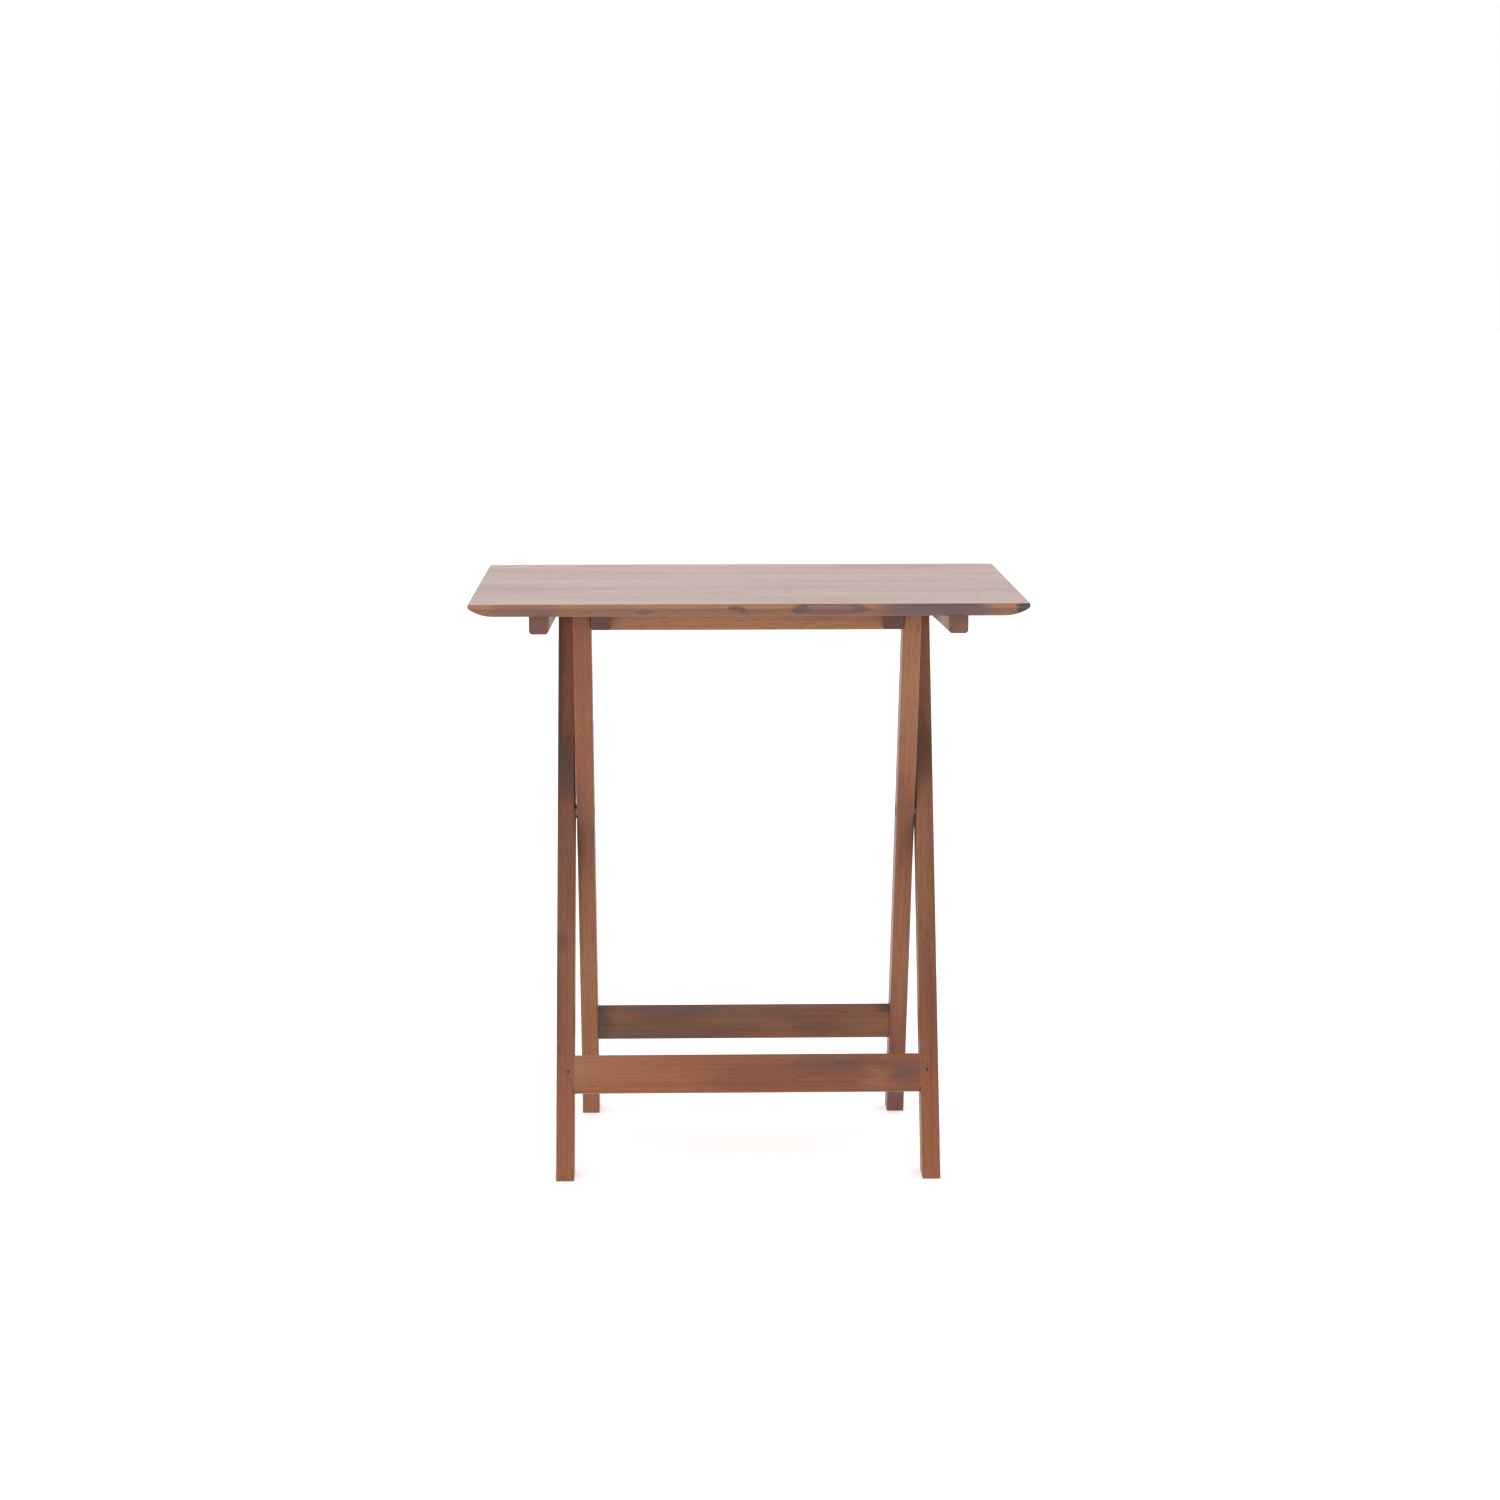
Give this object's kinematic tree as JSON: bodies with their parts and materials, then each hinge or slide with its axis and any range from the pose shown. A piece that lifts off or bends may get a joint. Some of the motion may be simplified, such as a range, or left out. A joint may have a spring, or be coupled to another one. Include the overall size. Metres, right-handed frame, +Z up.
{
  "type": "folding tray table",
  "caption": "Folding wooden tray table: thin under-beveled plank top hinged on crossed scissor legs, hooked over a crossbar and folding flat.",
  "frame": {"origin": "middle of the table's footprint on the floor", "axes": "+Z up, +X to the right along the tabletop's long side, +Y from the front edge to the back edge"},
  "size_m": [0.6, 0.4, 0.65],
  "materials": {
    "tabletop_wood": "satin oiled hardwood",
    "cleat_wood": "satin oiled hardwood",
    "frame_wood": "satin oiled hardwood",
    "peg_wood": "end grain, darker",
    "bolt_steel": "zinc plated",
    "washer_steel": "zinc plated",
    "screw_steel": "yellow zinc plated"
  },
  "bodies": {
    "outer_frame": {"outer_leg_left": "frame_wood", "outer_leg_right": "frame_wood", "front_stretcher": "frame_wood", "front_stretcher_pegs": "peg_wood", "scissor_bolt_left": "bolt_steel", "scissor_bolt_right": "bolt_steel", "scissor_nut_left": "bolt_steel", "scissor_nut_right": "bolt_steel", "scissor_washer_left": "washer_steel", "scissor_washer_right": "washer_steel"},
    "inner_frame": {"inner_leg_left": "frame_wood", "inner_leg_right": "frame_wood", "back_stretcher": "frame_wood", "back_stretcher_pegs": "peg_wood", "top_crossbar": "frame_wood"},
    "tabletop": {"tabletop_board_1": "tabletop_wood", "tabletop_board_2": "tabletop_wood", "tabletop_board_3": "tabletop_wood", "tabletop_board_4": "tabletop_wood", "outer_cleat_left": "cleat_wood", "outer_cleat_right": "cleat_wood", "latch_cleat_left": "cleat_wood", "latch_cleat_right": "cleat_wood", "outer_cleat_screws": "screw_steel", "latch_cleat_screws": "screw_steel", "top_pivot_bolt_left": "bolt_steel", "top_pivot_bolt_right": "bolt_steel", "top_pivot_nut_left": "bolt_steel", "top_pivot_nut_right": "bolt_steel", "top_pivot_washer_left": "washer_steel", "top_pivot_washer_right": "washer_steel"}
  },
  "joints": [
    {"name": "top_lift", "type": "hinge", "parent": "outer_frame", "child": "tabletop", "pos_m": [0, 0.077, 0.616], "axis": [-1, 0, 0], "range_deg": [0, 108]},
    {"name": "leg_fold", "type": "hinge", "parent": "outer_frame", "child": "inner_frame", "pos_m": [0, 0, 0.3885], "axis": [-1, 0, 0], "range_deg": [0, 34.3]}
  ],
  "couplings": [
    {"joint": "leg_fold", "follows": "top_lift", "ratio": 0.3165}
  ]
}
